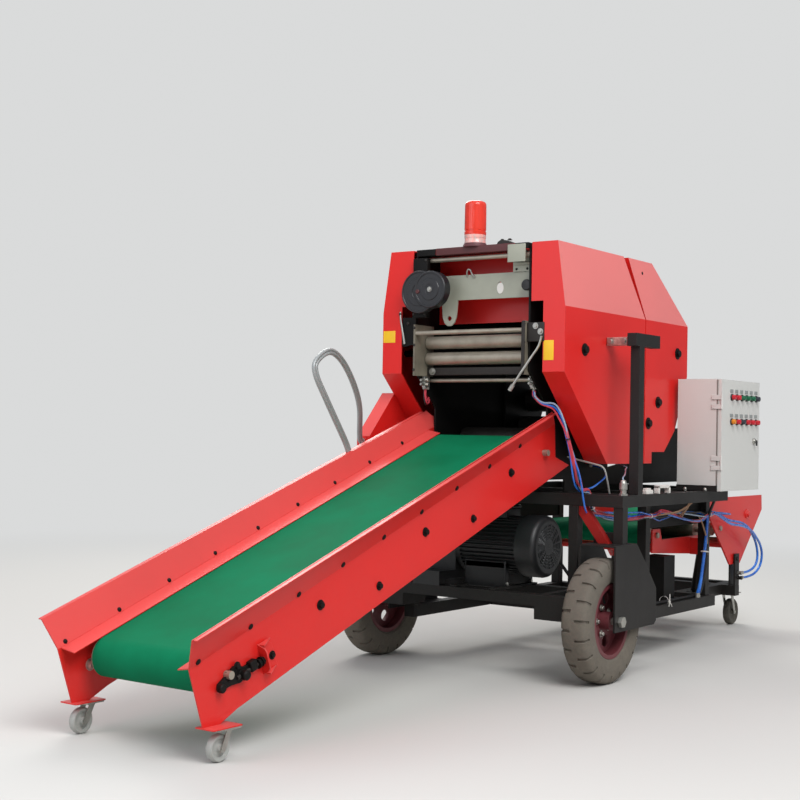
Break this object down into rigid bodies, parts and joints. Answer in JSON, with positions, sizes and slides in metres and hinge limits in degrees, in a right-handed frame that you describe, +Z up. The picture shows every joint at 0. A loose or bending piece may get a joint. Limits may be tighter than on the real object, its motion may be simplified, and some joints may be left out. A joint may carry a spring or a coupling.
{
  "type": "round baler",
  "caption": "Wheeled round baler with a sloping feed conveyor, red side covers over a roller chamber, a lifting rear gate, a control cabinet and a tilting bale table",
  "frame": {"origin": "on the floor under the centre of the bounding box", "axes": "+X points from the feed conveyor to the bale table, +Y to the side away from the cabinet, +Z up"},
  "size_m": [4.1198, 1.2842, 1.859],
  "materials": {
    "frame_grey": "satin dark grey paint",
    "red_paint": "semi-gloss red paint",
    "bare_steel": "worn bright steel",
    "green_belt": "smooth green belting",
    "black_paint": "satin black paint",
    "cabinet_grey": "fine textured light grey paint",
    "zinc": "zinc plated",
    "cast": "grey enamel on castings",
    "beacon_red": "clear red plastic",
    "beacon_white": "white plastic",
    "tyre_rubber": "dusty rubber",
    "wheel_rim": "dark red paint",
    "caster_plastic": "pale nylon",
    "caster_rubber": "grey rubber",
    "sage": "grey green paint",
    "blue_hose": "smooth polyurethane air hose",
    "buttons": "push buttons in several colours"
  },
  "bodies": {
    "frame": {"lower_frame": "frame_grey", "front_beam": "frame_grey", "rear_frame": "frame_grey", "uprights": "frame_grey", "upper_frame": "frame_grey", "side_posts": "frame_grey", "wheel_forks": "frame_grey", "axles": "zinc", "caster_plates": "zinc", "conveyor_sides": "red_paint", "conveyor_bed": "frame_grey", "conveyor_belt": "green_belt", "conveyor_drums": "bare_steel", "take_ups": "black_paint", "chamber_plates": "black_paint", "chamber_rollers": "bare_steel", "top_sheet": "red_paint", "net_side_plates": "sage", "net_rollers": "bare_steel", "net_cross_plate": "sage", "net_rods": "sage", "net_valves": "zinc", "air_hoses": "blue_hose", "hose_loop": "blue_hose", "pulley_guard": "black_paint", "beacon_base": "beacon_white", "beacon_lens": "beacon_red", "covers": "red_paint", "motor": "cast", "gearbox": "cast", "drive_guard": "red_paint", "hoop": "zinc", "cabinet": "cabinet_grey", "valve_box": "black_paint", "bale_guides": "black_paint", "lift_frame": "red_paint", "lift_rollers": "bare_steel", "lift_belt": "green_belt"},
    "gate": {"gate_covers": "red_paint", "gate_plates": "black_paint", "gate_rollers": "bare_steel"},
    "door": {"cabinet_door": "cabinet_grey", "push_buttons": "buttons"},
    "table": {"table_frame": "red_paint", "table_rollers": "bare_steel", "table_belt": "green_belt"},
    "lift_barrel": {"cylinder": "black_paint"},
    "lift_rod": {"cylinder_rod": "bare_steel"},
    "wheel_near": {"tyre_near": "tyre_rubber", "rim_near": "wheel_rim"},
    "wheel_far": {"tyre_far": "tyre_rubber", "rim_far": "wheel_rim"},
    "front_swivel_near": {"front_fork_near": "zinc"},
    "front_swivel_far": {"front_fork_far": "zinc"},
    "rear_swivel_near": {"rear_fork_near": "zinc"},
    "rear_swivel_far": {"rear_fork_far": "zinc"},
    "front_roll_near": {"front_wheel_near": "caster_plastic"},
    "front_roll_far": {"front_wheel_far": "caster_plastic"},
    "rear_roll_near": {"rear_wheel_near": "caster_rubber"},
    "rear_roll_far": {"rear_wheel_far": "caster_rubber"}
  },
  "joints": [
    {"name": "gate_lift", "type": "hinge", "parent": "frame", "child": "gate", "pos_m": [0.35992, 0.0279, 1.64], "axis": [0, -1, 0], "range_deg": [0, 50]},
    {"name": "door_swing", "type": "hinge", "parent": "frame", "child": "door", "pos_m": [0.74992, -0.6201, 0.949], "axis": [0, 0, -1], "range_deg": [0, 110]},
    {"name": "table_tilt", "type": "hinge", "parent": "frame", "child": "table", "pos_m": [1.71092, 0.0279, 0.345], "axis": [0, 1, 0], "range_deg": [0, 22]},
    {"name": "cylinder_pivot", "type": "hinge", "parent": "frame", "child": "lift_barrel", "pos_m": [1.30492, -0.2621, 0.19], "axis": [0, 1, 0], "range_deg": [0, 9]},
    {"name": "rod_slide", "type": "slide", "parent": "lift_barrel", "child": "lift_rod", "axis": [0.3428, 0, 0.9394], "range_m": [0, 0.13]},
    {"name": "wheel_near_spin", "type": "hinge", "parent": "frame", "child": "wheel_near", "pos_m": [-0.07008, -0.4931, 0.2375], "axis": [0, 1, 0], "continuous": true},
    {"name": "wheel_far_spin", "type": "hinge", "parent": "frame", "child": "wheel_far", "pos_m": [-0.07008, 0.5489, 0.2375], "axis": [0, 1, 0], "continuous": true},
    {"name": "front_swivel_near_turn", "type": "hinge", "parent": "frame", "child": "front_swivel_near", "pos_m": [-1.89208, -0.2561, 0.09], "axis": [0, 0, 1], "continuous": true},
    {"name": "front_roll_near_spin", "type": "hinge", "parent": "front_swivel_near", "child": "front_roll_near", "pos_m": [-1.92008, -0.2561, 0.04], "axis": [0, 1, 0], "continuous": true},
    {"name": "front_swivel_far_turn", "type": "hinge", "parent": "frame", "child": "front_swivel_far", "pos_m": [-1.89208, 0.3119, 0.09], "axis": [0, 0, 1], "continuous": true},
    {"name": "front_roll_far_spin", "type": "hinge", "parent": "front_swivel_far", "child": "front_roll_far", "pos_m": [-1.92008, 0.3119, 0.04], "axis": [0, 1, 0], "continuous": true},
    {"name": "rear_swivel_near_turn", "type": "hinge", "parent": "frame", "child": "rear_swivel_near", "pos_m": [1.83192, -0.2121, 0.155], "axis": [0, 0, 1], "continuous": true},
    {"name": "rear_roll_near_spin", "type": "hinge", "parent": "rear_swivel_near", "child": "rear_roll_near", "pos_m": [1.86992, -0.2121, 0.065], "axis": [0, 1, 0], "continuous": true},
    {"name": "rear_swivel_far_turn", "type": "hinge", "parent": "frame", "child": "rear_swivel_far", "pos_m": [1.83192, 0.2679, 0.155], "axis": [0, 0, 1], "continuous": true},
    {"name": "rear_roll_far_spin", "type": "hinge", "parent": "rear_swivel_far", "child": "rear_roll_far", "pos_m": [1.86992, 0.2679, 0.065], "axis": [0, 1, 0], "continuous": true}
  ],
  "couplings": [
    {"joint": "cylinder_pivot", "follows": "table_tilt", "ratio": 0.31907},
    {"joint": "rod_slide", "follows": "table_tilt", "m_per_rad": 0.31505}
  ]
}
